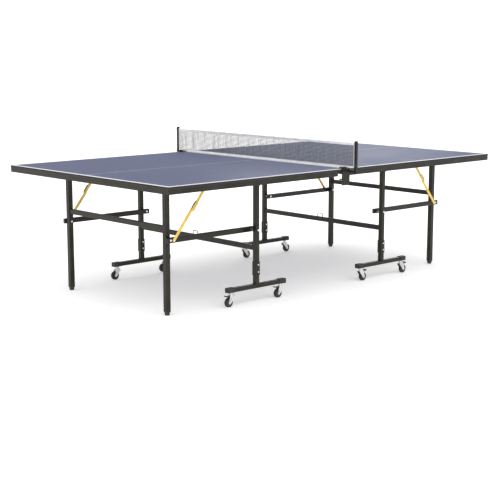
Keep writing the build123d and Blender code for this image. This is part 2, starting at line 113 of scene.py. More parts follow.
def lamp(name, kind, place, target, energy, **settings):
    """A lamp at a place, turned to face a target."""
    data = bpy.data.lights.new(name, kind)
    data.energy = energy
    for key, value in settings.items():
        setattr(data, key, value)
    made = bpy.data.objects.new(name, data)
    made.location = place
    way = Vector(target) - Vector(place)
    made.rotation_euler = way.to_track_quat("-Z", "Y").to_euler()
    made.visible_camera = False
    scene.collection.objects.link(made)
    print("lamp", name, "at", place)


lamp("ceiling", "SUN", (-1.2, -1.4, 4), (0, 0, 0.4), CEILING_STRENGTH, angle=CEILING_WIDTH)
lamp("far_sheen", "AREA", (4.4, 3.4, 1.9), (0.6, 0, 0.76), SHEEN_WATTS, size=SHEEN_SIZE)

# %% [markdown]
# ## Building materials from nodes
# Every finish here starts as a Principled shader and gains a pattern for its colour, its
# roughness and its relief. The class below keeps the node wiring to one line per step, so that a
# recipe reads like a list of what a painter or a plater did. Patterns read Object coordinates,
# which are metres on the real table, so a grain size is a real size.

# %% The Finish helper
class Finish:
    """A procedural material, built one node at a time around a Principled shader."""

    def __init__(self, name, **shader_values):
        self.material = bpy.data.materials.new(name)
        self.material.use_nodes = True
        self.tree = self.material.node_tree
        self.shader = self.tree.nodes["Principled BSDF"]
        for socket, value in shader_values.items():
            self.shader.inputs[socket.replace("_", " ")].default_value = value
        self.place = self.add("ShaderNodeTexCoord", "Object")
        split = self.tree.nodes.new("ShaderNodeSeparateXYZ")
        self.tree.links.new(self.place, split.inputs[0])
        self.x, self.y, self.z = split.outputs

    def add(self, kind, output=0, settings=None, **inputs):
        """Adds a node and returns one of its outputs. An input is a value or another output."""
        node = self.tree.nodes.new(kind)
        for key, value in (settings or {}).items():
            setattr(node, key, value)
        for key, value in inputs.items():
            socket = node.inputs[int(key[1:]) if key[0] == "_" else key]
            if isinstance(value, bpy.types.NodeSocket):
                self.tree.links.new(value, socket)
            else:
                socket.default_value = value
        return node.outputs[output]

    def maths(self, operation, first, second=0.0):
        """One sum on two values, such as ADD or MULTIPLY."""
        return self.add("ShaderNodeMath", 0, {"operation": operation}, _0=first, _1=second)

    def stretch(self, x, y, z):
        """The Object coordinates with each axis scaled."""
        return self.add("ShaderNodeMapping", Vector=self.place, Scale=(x, y, z))

    def noise(self, size, detail=3.0, at=None):
        """Cloudy noise whose blotches are about size metres across."""
        return self.add(
            "ShaderNodeTexNoise", "Fac", Vector=at or self.place, Scale=0.7 / size, Detail=detail
        )

    def grains(self, size, output="Distance", at=None):
        """Cells about size metres across."""
        return self.add("ShaderNodeTexVoronoi", output, Vector=at or self.place, Scale=1 / size)

    def ramp(self, value, low, high, start=0.0, end=1.0):
        """A smooth step from start to end while the value goes from low to high."""
        return self.add(
            "ShaderNodeMapRange", 0, {"interpolation_type": "SMOOTHSTEP"},
            _0=value, _1=low, _2=high, _3=start, _4=end,
        )

    def mix(self, share, first, second):
        """The first colour where share is 0 and the second where it is 1."""
        return self.add("ShaderNodeMix", 2, {"data_type": "RGBA"}, _0=share, _6=first, _7=second)

    def relief(self, height, depth):
        """Bumps of the given depth in metres, on top of any relief there already."""
        before = self.shader.inputs["Normal"].links
        bump = self.tree.nodes.new("ShaderNodeBump")
        bump.inputs["Distance"].default_value = depth
        self.tree.links.new(height, bump.inputs["Height"])
        if before:
            self.tree.links.new(before[0].from_socket, bump.inputs["Normal"])
        self.tree.links.new(bump.outputs[0], self.shader.inputs["Normal"])

    def wear(self, **sockets):
        """Wires patterns to the shader's inputs."""
        for key, value in sockets.items():
            self.tree.links.new(value, self.shader.inputs[key.replace("_", " ")])
        return self.material


# %% Helpers for CAD nodes
def dress(material, *nodes):
    """Gives CAD nodes a material."""
    for name in nodes:
        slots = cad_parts[name].data.materials
        slots.clear()
        slots.append(material)
    print(material.name, "on", len(nodes), "CAD nodes")


def halves(*names):
    """The CAD nodes with these names on half a and half b."""
    return [f"{name}_{half}" for name in names for half in "ab"]


def nodes_called(start):
    """Every CAD node whose name has this start."""
    return [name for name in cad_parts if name.startswith(start)]


def between(first, second, share):
    """The colour that lies share of the way from the first to the second."""
    return [a + share * (b - a) for a, b in zip(first, second)]


# %% [markdown]
# ## The painted boards
# Each board is particle board with a rolled, matt acrylic playing coat. White lines run along
# all of its edges, with a thin line down its middle, and the edge itself is sealed in black. The
# underside has a thin grey-purple sealer, through which the chips still show. One material can
# do it all, because height tells the three faces apart: the top, the edge and the underside.

# %% Board sizes and colours
BOARD_HALF_LENGTH = 0.6825
BOARD_HALF_WIDTH = 0.7625
EDGE_LINE = 0.020
MIDDLE_LINE = 0.003
LINE_BLUR = 0.0003
TOP_LEVEL = 0.7592
UNDER_LEVEL = 0.7485
LEVEL_BLUR = 0.0001
PLAYING_BLUE = (0.076, 0.093, 0.180, 1)
WORN_BLUE = (0.098, 0.115, 0.205, 1)
LINE_WHITE = (0.86, 0.86, 0.87, 1)
LINE_GREY = (0.72, 0.72, 0.73, 1)
EDGE_BLACK = (0.012, 0.012, 0.014, 1)
SEALER_DARK = (0.105, 0.092, 0.118, 1)
SEALER_PALE = (0.165, 0.148, 0.178, 1)
print("end and side lines are", EDGE_LINE * 1000, "mm wide")


# %% White lines
def step_up(paint, value, at, blur):
    """0 below a level and 1 above it, with a soft step as wide as twice the blur."""
    return paint.ramp(value, at - blur, at + blur)


def white_lines(paint, middle_x):
    """1 on the two long lines, the two end lines and the thin middle line, and 0 off them."""
    along = paint.maths("ABSOLUTE", paint.maths("SUBTRACT", paint.x, middle_x))
    across = paint.maths("ABSOLUTE", paint.y)
    ends = step_up(paint, along, BOARD_HALF_LENGTH - EDGE_LINE, LINE_BLUR)
    sides = step_up(paint, across, BOARD_HALF_WIDTH - EDGE_LINE, LINE_BLUR)
    thin = MIDDLE_LINE / 2
    middle = paint.ramp(across, thin - LINE_BLUR, thin + LINE_BLUR, 1, 0)
    return paint.maths("MAXIMUM", paint.maths("MAXIMUM", ends, sides), middle)


# %% Board paint
def board_paint(name, middle_x):
    """The paint of one board: blue with white lines, black at the edge, sealer underneath."""
    paint = Finish(name, Specular_IOR_Level=0.35)
    lines = white_lines(paint, middle_x)
    cloud = paint.noise(0.22, 5)
    scuffs = paint.noise(0.02, 6, paint.stretch(1, 6, 1))
    rubbed = paint.ramp(scuffs, 0.60, 0.72)
    ball_marks = paint.ramp(paint.grains(0.11), 0.06, 0.03)
    blue = paint.mix(paint.ramp(cloud, 0.35, 0.75), PLAYING_BLUE, WORN_BLUE)
    blue = paint.mix(paint.maths("MULTIPLY", rubbed, 0.08), blue, LINE_GREY)
    blue = paint.mix(paint.maths("MULTIPLY", ball_marks, 0.05), blue, LINE_WHITE)
    white = paint.mix(paint.ramp(paint.noise(0.015, 5), 0.45, 0.8), LINE_WHITE, LINE_GREY)
    top = paint.mix(lines, blue, white)

    chips = paint.ramp(paint.grains(0.004, "Color"), 0.2, 0.9)
    blotches = paint.ramp(paint.noise(0.12, 6), 0.3, 0.75)
    speckle = paint.maths("MULTIPLY", paint.maths("ADD", chips, blotches), 0.5)
    sealer = paint.mix(speckle, SEALER_DARK, SEALER_PALE)
    nick = paint.ramp(paint.noise(0.004, 3), 0.70, 0.74)
    edge = paint.mix(nick, EDGE_BLACK, SEALER_PALE)
    on_top = step_up(paint, paint.z, TOP_LEVEL, LEVEL_BLUR)
    off_under = step_up(paint, paint.z, UNDER_LEVEL, LEVEL_BLUR)
    colour = paint.mix(on_top, paint.mix(off_under, sealer, edge), top)

    matt = paint.ramp(cloud, 0.3, 0.7, 0.50, 0.58)
    rough = paint.maths("SUBTRACT", matt, paint.maths("MULTIPLY", rubbed, 0.10))
    paint.relief(paint.noise(0.0016, 2), 0.00006)
    paint.relief(lines, 0.00008)
    return paint.wear(Base_Color=colour, Roughness=rough)


for half in "ab":
    low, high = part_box(f"tabletop_{half}")
    dress(board_paint(f"board_paint_{half}", (low.x + high.x) / 2), f"tabletop_{half}")

# %% [markdown]
# ## Black powder coat
# The tubes are sprayed with dry powder and baked, which leaves a satin skin with a fine orange
# peel. Feet, wheels and shoes rub it near the floor, so it turns dusty and paler there, and fine
# scratches run across it everywhere. The relief is under a tenth of a millimetre.

# %% Powder coat
COAT_BLACK = (0.0075, 0.0068, 0.0052, 1)
COAT_WORN = (0.036, 0.032, 0.024, 1)
WARM_GLOSS = (1.0, 0.94, 0.82, 1)


def powder_coat(name, dark, pale, roughness):
    """Baked powder with an orange peel skin, dusty near the floor and scratched all over."""
    coat = Finish(
        name, Specular_IOR_Level=0.30, Specular_Tint=WARM_GLOSS, Coat_Weight=0.05,
        Coat_Roughness=0.25,
    )
    peel = coat.noise(0.0018, 2)
    cloud = coat.noise(0.05, 5)
    low_down = coat.ramp(coat.z, 0.30, 0.03)
    dust = coat.maths("MULTIPLY", low_down, coat.ramp(coat.noise(0.03, 7), 0.42, 0.75, 0, 0.45))
    scratch = coat.ramp(coat.noise(0.006, 4, coat.stretch(1, 1, 9)), 0.66, 0.70, 0, 0.22)
    worn = coat.maths("ADD", dust, scratch)
    colour = coat.mix(coat.ramp(cloud, 0.35, 0.7), dark, between(dark, pale, 0.5))
    colour = coat.mix(worn, colour, pale)
    satin = coat.ramp(cloud, 0.3, 0.7, roughness - 0.04, roughness + 0.06)
    rough = coat.maths("ADD", satin, coat.maths("MULTIPLY", dust, 0.4))
    coat.relief(peel, 0.00005)
    coat.relief(scratch, -0.00004)
    return coat.wear(Base_Color=colour, Roughness=rough)


black_coat = powder_coat("black_powder_coat", COAT_BLACK, COAT_WORN, 0.34)
dress(
    black_coat,
    "net_posts",
    *halves(
        "apron_rails", "pivot_brackets", "end_legs", "end_crossbar", "trolley_legs",
        "trolley_crossbar", "leg_sleeves", "caster_beams", "side_links",
    ),
)

# %% [markdown]
# ## Yellow enamel
# The knee stays and the storage latch are the parts that a hand must find, so they are yellow.
# Enamel on a moving steel bar chips to dark metal at random, mostly where the bars rub, and a
# little grime settles in the low places.

# %% Yellow enamel
YELLOW = (0.93, 0.66, 0.110, 1)
YELLOW_DEEP = (0.80, 0.50, 0.055, 1)
BARE_STEEL = (0.10, 0.09, 0.075, 1)

enamel = Finish("yellow_enamel", Specular_IOR_Level=0.5, Coat_Weight=0.25, Coat_Roughness=0.18)
cloud = enamel.noise(0.03, 5)
chips = enamel.ramp(enamel.noise(0.007, 6), 0.675, 0.695)
grime = enamel.ramp(enamel.noise(0.018, 6), 0.50, 0.80, 0, 0.55)
colour = enamel.mix(enamel.ramp(cloud, 0.3, 0.75), YELLOW, YELLOW_DEEP)
colour = enamel.mix(grime, colour, YELLOW_DEEP)
colour = enamel.mix(chips, colour, BARE_STEEL)
enamel.relief(enamel.noise(0.002, 2), 0.00004)
enamel.relief(chips, -0.00010)
shine = enamel.ramp(cloud, 0.3, 0.7, 0.32, 0.42)
rough = enamel.maths("ADD", shine, enamel.maths("MULTIPLY", chips, 0.3))
yellow_enamel = enamel.wear(Base_Color=colour, Roughness=rough)
dress(yellow_enamel, *halves("stay_uppers", "stay_lowers", "storage_latch"))

# %% [markdown]
# ## Bright zinc
# Forks, bolts and rivets are pressed or turned steel with a zinc plate. The plate is a soft
# silver with small crystals, and it dulls to grey where water has stood on it. Noise stretched
# along one axis gives the fine marks that tumbling leaves.

# %% Zinc plate
ZINC = (0.66, 0.67, 0.66, 1)
ZINC_BRIGHT = (0.80, 0.80, 0.78, 1)
ZINC_DULL = (0.42, 0.41, 0.38, 1)

zinc = Finish("zinc_plate", Metallic=1.0, Specular_IOR_Level=0.5)
crystals = zinc.grains(0.0035, "Color")
dull = zinc.ramp(zinc.noise(0.012, 6), 0.45, 0.75)
colour = zinc.mix(zinc.ramp(crystals, 0.1, 0.9), ZINC, ZINC_BRIGHT)
colour = zinc.mix(zinc.maths("MULTIPLY", dull, 0.6), colour, ZINC_DULL)
zinc.relief(zinc.noise(0.0012, 3, zinc.stretch(1, 1, 5)), 0.00003)
zinc_plate = zinc.wear(Base_Color=colour, Roughness=zinc.ramp(dull, 0, 1, 0.27, 0.50))
dress(
    zinc_plate,
    *halves("pivot_bolts", "link_bolts", "trolley_hardware"),
    *nodes_called("caster_fork"),
)

# %% [markdown]
# ## Moulded plastic
# Feet, beam caps, pedals and knobs are injection moulded with a spark-eroded grain, which is a
# fine even pitting. It hides scratches, so only its high spots shine.

# %% Black plastic
PLASTIC_BLACK = (0.014, 0.014, 0.015, 1)
PLASTIC_SCUFFED = (0.085, 0.083, 0.080, 1)


def moulded_plastic(name, dark, pale, roughness):
    """Plastic with a fine pitted grain and a few pale scuffs."""
    plastic = Finish(name, Specular_IOR_Level=0.4)
    grain = plastic.grains(0.0009)
    cloud = plastic.noise(0.02, 5)
    scuff = plastic.ramp(plastic.noise(0.004, 5, plastic.stretch(1, 4, 1)), 0.64, 0.72, 0, 0.35)
    colour = plastic.mix(plastic.ramp(cloud, 0.3, 0.7), dark, between(dark, pale, 0.3))
    colour = plastic.mix(scuff, colour, pale)
    plastic.relief(grain, 0.00006)
    rough = plastic.ramp(cloud, 0.3, 0.7, roughness, roughness + 0.12)
    return plastic.wear(Base_Color=colour, Roughness=rough)


black_plastic = moulded_plastic("black_plastic", PLASTIC_BLACK, PLASTIC_SCUFFED, 0.46)
dress(black_plastic, *halves("foot_tips", "beam_caps"), *nodes_called("brake_pedal"))

# %% [markdown]
# ## Making pieces
# New pieces are built in a bmesh, which is Blender's editable mesh in code. One helper turns a
# finished bmesh into an object that rides on its CAD body, with its normals facing outwards and
# its doubles merged. Another turns a profile into a lathe-made part. Positions come from the CAD
# nodes' boxes wherever a box gives them, so a change to the CAD moves the pieces with it.

# %% Piece helpers
TINY = 1e-6


def make_piece(name, bm, body, slot, *materials, smooth=True, replaces=()):
    """Turns a bmesh into a piece that rides on a body and takes the given materials.
    slot is not used.
    """
    bmesh.ops.remove_doubles(bm, verts=bm.verts, dist=TINY)
    bmesh.ops.recalc_face_normals(bm, faces=bm.faces)
    mesh = bpy.data.meshes.new(name)
    bm.to_mesh(mesh)
    bm.free()
    piece = bpy.data.objects.new(name, mesh)
    scene.collection.objects.link(piece)
    for material in materials:
        mesh.materials.append(material)
    for face in mesh.polygons:
        face.use_smooth = smooth
    if smooth:
        mesh.set_sharp_from_angle(angle=radians(35))
    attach(piece, body)
    if replaces:
        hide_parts(*replaces)
    print(name, "has", len(mesh.polygons), "faces on", body)
    return piece


def join(bm, part, matrix=None):
    """Moves a finished part's mesh into bm."""
    if matrix:
        bmesh.ops.transform(part, matrix=matrix, verts=part.verts)
    spare = bpy.data.meshes.new("spare")
    part.to_mesh(spare)
    part.free()
    bm.from_mesh(spare)
    bpy.data.meshes.remove(spare)


def turned(bm, profile, steps, place, axis="Z", closed=True, material=0):
    """Turns (radius, height) points about an axis through place, as on a lathe."""
    part = bmesh.new()
    points = [part.verts.new((radius, 0, height)) for radius, height in profile]
    pairs = list(zip(points, points[1:])) + ([(points[-1], points[0])] if closed else [])
    edges = [part.edges.new(pair) for pair in pairs]
    bmesh.ops.spin(
        part, geom=points + edges, cent=(0, 0, 0), axis=(0, 0, 1), angle=tau, steps=steps,
        use_merge=True,
    )
    bmesh.ops.remove_doubles(part, verts=part.verts, dist=TINY)
    bmesh.ops.recalc_face_normals(part, faces=part.faces)
    for face in part.faces:
        face.material_index = material
    turn = Matrix.Rotation(-pi / 2, 4, "X") if axis == "Y" else Matrix.Identity(4)
    join(bm, part, Matrix.Translation(place) @ turn)


# %% [markdown]
# ## Caster wheels
# A caster wheel is a hard nylon centre with a softer tyre moulded around it. Both are turned
# shapes, so a profile spun about the axle makes each of them. The tyre has a shallow crown and
# picks up grey dust where it rolls, and the centre is dished on both of its sides.

# %% Wheel profiles
# Each profile point is its radius and its place along the axle.
TYRE = [
    (0.0195, -0.0075), (0.0235, -0.0085), (0.0260, -0.0080), (0.0272, -0.0062), (0.0275, -0.0030),
    (0.0275, 0.0030), (0.0272, 0.0062), (0.0260, 0.0080), (0.0235, 0.0085), (0.0195, 0.0075),
]
HUB = [
    (0.0041, -0.0095), (0.0078, -0.0095), (0.0085, -0.0088), (0.0090, -0.0060), (0.0160, -0.0052),
    (0.0180, -0.0072), (0.0196, -0.0076), (0.0196, 0.0076), (0.0180, 0.0072), (0.0160, 0.0052),
    (0.0090, 0.0060), (0.0085, 0.0088), (0.0078, 0.0095), (0.0041, 0.0095),
]
print("wheels are", 2000 * max(radius for radius, place in TYRE), "mm across")

# %% Wheel finishes
TYRE_BLACK = (0.012, 0.012, 0.013, 1)
FLOOR_DUST = (0.085, 0.080, 0.072, 1)
CENTRE_GREY = (0.030, 0.030, 0.032, 1)
CENTRE_SCUFFED = (0.12, 0.12, 0.12, 1)

tyre_finish = Finish("wheel_tyre", Specular_IOR_Level=0.35)
tyre_dust = tyre_finish.ramp(tyre_finish.noise(0.006, 6), 0.45, 0.75, 0, 0.6)
tyre_finish.relief(tyre_finish.noise(0.0015, 4), 0.00012)
tyre_black = tyre_finish.wear(
    Base_Color=tyre_finish.mix(tyre_dust, TYRE_BLACK, FLOOR_DUST),
    Roughness=tyre_finish.ramp(tyre_dust, 0, 0.6, 0.45, 0.75),
)
hub_grey = moulded_plastic("wheel_centre", CENTRE_GREY, CENTRE_SCUFFED, 0.40)
print("wheel finishes:", tyre_black.name, hub_grey.name)

# %% Wheels
for name in nodes_called("caster_wheel"):
    low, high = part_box(name)
    middle = (low + high) / 2
    bm = bmesh.new()
    turned(bm, TYRE, 48, middle, "Y")
    turned(bm, HUB, 32, middle, "Y", material=1)
    wheel = name.replace("caster_", "")
    make_piece(wheel, bm, wheel, "wheel_plastic", tyre_black, hub_grey, replaces=[name])

# %% [markdown]
# ## The net
# The net is a knitted dark mesh with a white cotton tape folded over its headline, a second band
# along its foot and a sleeve at each post. It is cut wider than the span, so it hangs in soft
# upright folds. A grid turned to strands by the wireframe operator is a real net, with holes
# that light passes through, and each strand needs only four faces.

# %% Net folds
net_low, net_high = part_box("net")
NET_X = (net_low.x + net_high.x) / 2
NET_REACH = net_high.y
NET_FOOT, NET_TOP = net_low.z, net_high.z
MESH_INSET = 0.003
MESH_SPACING = 0.0080
STRAND = 0.0023
TOP_TAPE = 0.015
FOOT_BAND = 0.010
SIDE_SLEEVE = 0.009
SLACK_AT_TAPES = 0.30
FLAT_NEAR_POSTS = 0.05
# Each set of folds has its depth, its wavelength along the net, its shift and its lean.
FOLDS = ((0.0030, 0.112, 0.4, 9), (0.0018, 0.067, 1.9, -14), (0.0016, 0.181, 3.1, 6))
LEAN = 0.15
CROWDING = 0.5
print("net spans", round(2 * NET_REACH, 3), "m and is", round(NET_TOP - NET_FOOT, 4), "m high")


def hang(bm):
    """Pushes the net off its plane in leaning folds, and crowds its strands where a fold turns.
    Both are strongest midway between the two tapes and fade out at the posts."""
    for vert in bm.verts:
        x, y, z = vert.co
        height = (z - NET_FOOT) / (NET_TOP - NET_FOOT)
        slack = SLACK_AT_TAPES + (1 - SLACK_AT_TAPES) * sin(pi * min(max(height, 0), 1))
        slack *= min(1.0, (NET_REACH - abs(y)) / FLAT_NEAR_POSTS)
        for size, wave, shift, lean in FOLDS:
            turn = tau * (y / wave) + shift + lean * height * LEAN
            vert.co.x += slack * size * sin(turn)
            vert.co.y += slack * CROWDING * size * sin(2 * turn + 1)


# %% Net cloth and tape finishes
# The second colour of each cloth is both its soiled or faded tone and the painted shade in its
# weave.
COTTON_WHITE = (0.90, 0.90, 0.91, 1)
COTTON_SOILED_AND_SHADED = (0.72, 0.72, 0.74, 1)
THREAD_DARK = (0.032, 0.033, 0.031, 1)
THREAD_FADED_AND_SHADED = (0.070, 0.070, 0.066, 1)


def cloth(name, pale, soil_and_shade, thread):
    """Woven cotton: two sets of ribs at the thread's width, crossing at right angles.
    The hollows between the ribs are painted darker, as painted shade.
    """
    weave = Finish(name, Specular_IOR_Level=0.2, Sheen_Weight=0.35, Sheen_Roughness=0.5)
    warp = weave.maths("SINE", weave.maths("MULTIPLY", weave.y, tau / thread))
    weft = weave.maths("SINE", weave.maths("MULTIPLY", weave.z, tau / thread))
    ribs = weave.maths("MULTIPLY", warp, weft)
    soil = weave.ramp(weave.noise(0.04, 6), 0.45, 0.8)
    colour = weave.mix(soil, pale, soil_and_shade)
    # Painted shade: the low parts of the ribs take up to 18% of the darker colour, which is also
    # the soiled colour.
    colour = weave.mix(weave.ramp(ribs, -1, 1, 0.18, 0.0), colour, soil_and_shade)
    weave.relief(ribs, 0.00012)
    print(name, "has threads every", thread * 1000, "mm")
    return weave.wear(Base_Color=colour, Roughness=weave.ramp(soil, 0, 1, 0.78, 0.9))


tape_white = cloth("tape_cotton", COTTON_WHITE, COTTON_SOILED_AND_SHADED, 0.0012)
net_thread = cloth("net_thread", THREAD_DARK, THREAD_FADED_AND_SHADED, 0.0008)

# %% Net mesh
bm = bmesh.new()
height = NET_TOP - NET_FOOT - 2 * MESH_INSET
columns = round(2 * NET_REACH / MESH_SPACING)
rows = round(height / MESH_SPACING)
bmesh.ops.create_grid(bm, x_segments=columns, y_segments=rows, size=0.5)
bmesh.ops.transform(
    bm,
    verts=bm.verts,
    matrix=Matrix.Translation((NET_X, 0, (NET_TOP + NET_FOOT) / 2))
    @ Matrix.Rotation(pi / 2, 4, "Z")
    @ Matrix.Rotation(pi / 2, 4, "X")
    @ Matrix.Diagonal((2 * (NET_REACH - MESH_INSET), height, 1, 1)),
)
bmesh.ops.wireframe(
    bm, faces=bm.faces, thickness=STRAND, offset=0, use_replace=True, use_boundary=True,
    use_even_offset=True,
)
hang(bm)
net_mesh = make_piece(
    "net_mesh", bm, "top_a", "net_mesh", net_thread, smooth=False, replaces=["net"]
)

# %% [markdown]
# ## Tapes and sleeves
# A tape is a flat woven band, so a long thin block with softened edges, divided along its length
# to follow the same folds, is enough. The headline cord inside the top tape makes its upper edge
# rounder and thicker than its hem.

# %% Band helpers
BAND_STEP = 0.009


def run_along(edge, axis):
    """How far an edge runs along one of the axes 0, 1 and 2."""
    return abs((edge.verts[0].co - edge.verts[1].co)[axis])


def block(bm, middle, size):
    """A box of the given size around a middle point."""
    matrix = Matrix.Translation(middle) @ Matrix.Diagonal((*size, 1))
    bmesh.ops.create_cube(bm, size=1, matrix=matrix)


def soften(bm, edges, width, steps):
    """Rounds edges off by a width, in a number of steps."""
    bmesh.ops.bevel(
        bm, geom=edges, offset=width, segments=steps, affect="EDGES", profile=0.5, material=-1
    )


def band(y, z, thick, head=0.0):
    """A band of cloth with rounded edges. head is the radius of a cord in its upper edge."""
    bm = bmesh.new()
    size = (thick, y[1] - y[0], z[1] - z[0])
    block(bm, (NET_X, (y[0] + y[1]) / 2, (z[0] + z[1]) / 2), size)
    longest = 1 if size[1] > size[2] else 2
    long_edges = [e for e in bm.edges if run_along(e, longest) > TINY]
    soften(bm, long_edges, 0.35 * thick, 2)
    long_edges = [e for e in bm.edges if run_along(e, longest) > 0.5 * size[longest]]
    cuts = round(size[longest] / BAND_STEP)
    bmesh.ops.subdivide_edges(bm, edges=long_edges, cuts=cuts, use_grid_fill=True)
    for vert in bm.verts:
        rise = (vert.co.z - (z[1] - 2 * head)) / (2 * head) if head else -1
        if rise > 0:
            vert.co.x = NET_X + (vert.co.x - NET_X) * (1 + head / thick * sin(pi * min(rise, 1)))
    return bm


# %% Stitch helper
STITCH = (0.0006, 0.0048, 0.0007)
STITCH_STEP = 0.008
HEM_INSET = 0.0022


def add_stitches(bm, z, thick):
    """Short raised stitches along a hem, on both faces of the tape."""
    for step in range(round(2 * NET_REACH / STITCH_STEP)):
        y = -NET_REACH + (step + 0.5) * STITCH_STEP
        for face in (-1, 1):
            block(bm, (NET_X + face * thick / 2, y, z), STITCH)


# %% Tapes and sleeves
TAPE_THICK = 0.0034
HEADLINE_RADIUS = 0.0022
BAND_THICK = 0.0030
SLEEVE_THICK = 0.0046
SLEEVE_INSET = 0.001

bm = band((-NET_REACH, NET_REACH), (NET_TOP - TOP_TAPE, NET_TOP), TAPE_THICK, HEADLINE_RADIUS)
add_stitches(bm, NET_TOP - TOP_TAPE + HEM_INSET, TAPE_THICK)
hang(bm)
top_tape = make_piece("net_top_tape", bm, "top_a", "net_mesh", tape_white)

bm = band((-NET_REACH, NET_REACH), (NET_FOOT, NET_FOOT + FOOT_BAND), BAND_THICK)
add_stitches(bm, NET_FOOT + FOOT_BAND - HEM_INSET, BAND_THICK)
hang(bm)
foot_band = make_piece("net_foot_band", bm, "top_a", "net_mesh", tape_white)

for name, way in (("front", -1), ("back", 1)):
    ends = sorted((way * NET_REACH, way * (NET_REACH - SIDE_SLEEVE)))
    bm = band(ends, (NET_FOOT + SLEEVE_INSET, NET_TOP - SLEEVE_INSET), SLEEVE_THICK)
    hang(bm)
    make_piece(f"net_sleeve_{name}", bm, "top_a", "net_mesh", tape_white)

# %% [markdown]
# Whoever simulates the net needs the size that it was cut to. That is its span between the posts,
# with a little more width for the folds, by its height.

# %% [markdown]
# ## Clamp screws
# Each net post is held by a screw under the board. A stack of sharp rings is a good thread at
# this size, and its pressure pad is part of the same turning. The knob is a disc whose rim waves
# in six lobes for wet fingers.

# %% Knob helper
LOBES = 6
LOBE_DEPTH = 0.13
POINTS_PER_LOBE = 8
KNOB_EDGE = 0.0016


def lobed_knob(bm, place, radius, bottom, top):
    """A disc with a waved rim and softened edges, from bottom to top."""
    made = bmesh.ops.create_circle(
        bm, cap_ends=True, radius=radius, segments=LOBES * POINTS_PER_LOBE
    )
    for vert in made["verts"]:
        angle = Vector((1, 0)).angle_signed(vert.co.xy)
        vert.co *= 1 - LOBE_DEPTH * (0.5 - 0.5 * cos(LOBES * angle))
        vert.co += Vector((place[0], place[1], bottom))
    base = [face for face in bm.faces if all(v in made["verts"] for v in face.verts)]
    lifted = bmesh.ops.extrude_face_region(bm, geom=base)["geom"]
    verts = [item for item in lifted if isinstance(item, bmesh.types.BMVert)]
    bmesh.ops.translate(bm, verts=verts, vec=(0, 0, top - bottom))
    rims = [e for e in bm.edges if run_along(e, 2) < TINY]
    soften(bm, rims, KNOB_EDGE, 3)


# %% Clamp screws
KNOB_HEIGHT = 0.015
ROOT, CREST, PITCH = 0.0034, 0.0040, 0.00125
THREAD_FOOT = 0.010
FIRST_RING = 0.0155
LAST_RING = 0.0055
# Each point of the pad is its radius and its depth below the screw's top.
PAD = [(ROOT, 0.0045), (0.0085, 0.0040), (0.0090, 0.0033), (0.0090, 0.0005), (0.0084, 0), (0, 0)]

for side in ("front", "back"):
    screw_name = f"clamp_screw_{side}"
    low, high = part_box(screw_name)
    middle = (low + high) / 2
    bm = bmesh.new()
    lobed_knob(bm, middle.xy, (high.x - low.x) / 2, low.z, low.z + KNOB_HEIGHT)
    make_piece(f"clamp_knob_{side}", bm, screw_name, "black_plastic", black_plastic)

    thread = [(0.0, low.z + THREAD_FOOT), (ROOT, low.z + THREAD_FOOT)]
    level = low.z + FIRST_RING
    while level < high.z - LAST_RING:
        thread += [(ROOT, level), (CREST, level + PITCH / 2)]
        level += PITCH
    pad = [(radius, high.z - depth) for radius, depth in PAD]
    bm = bmesh.new()
    turned(bm, thread + pad, 24, (middle.x, middle.y, 0), closed=False)
    make_piece(
        f"clamp_thread_{side}", bm, screw_name, "zinc_steel", zinc_plate, replaces=[screw_name]
    )

# %% [markdown]
# ## Lock clips on the stays
# Each knee stay is held straight by a spring clip along its upper edge, above the knee. It is
# plain steel darkened by oil, a narrow strip with round ends, so a bevelled block gives its
# outline. A domed rivet head closes the knee. The knee's place comes from the upper stay's box,
# because the stay's widest end is there.

# %% Oiled steel
STEEL = (0.20, 0.185, 0.15, 1)
STEEL_OILED = (0.085, 0.075, 0.055, 1)

oiled = Finish("oiled_steel", Metallic=1.0)
oil = oiled.ramp(oiled.noise(0.010, 6), 0.40, 0.75)
oiled.relief(oiled.noise(0.0010, 3, oiled.stretch(1, 1, 6)), 0.00003)
oiled_steel = oiled.wear(
    Base_Color=oiled.mix(oil, STEEL, STEEL_OILED),
    Roughness=oiled.ramp(oil, 0, 1, 0.30, 0.48),
)
print(oiled_steel.name, "is ready for the clips")

# %% Clips
CLIP_LENGTH = 0.044
CLIP_WIDTH = 0.0052
CLIP_THICK = 0.0060
CLIP_RISE = 0.0105
CLIP_START = 0.004
CLIP_EDGE = 0.0005
IN_FROM_FACE = 0.0038
STAY_END_R = 0.009
KNEE_R = 0.0115
RIVET_LIFT = 0.0016
# Each point of the rivet's dome is its radius and its height.
RIVET_DOME = [
    (0, -0.0016), (0.0068, -0.0016), (0.0070, 0.0000), (0.0062, 0.0012), (0.0040, 0.0019),
    (0, 0.0022),
]


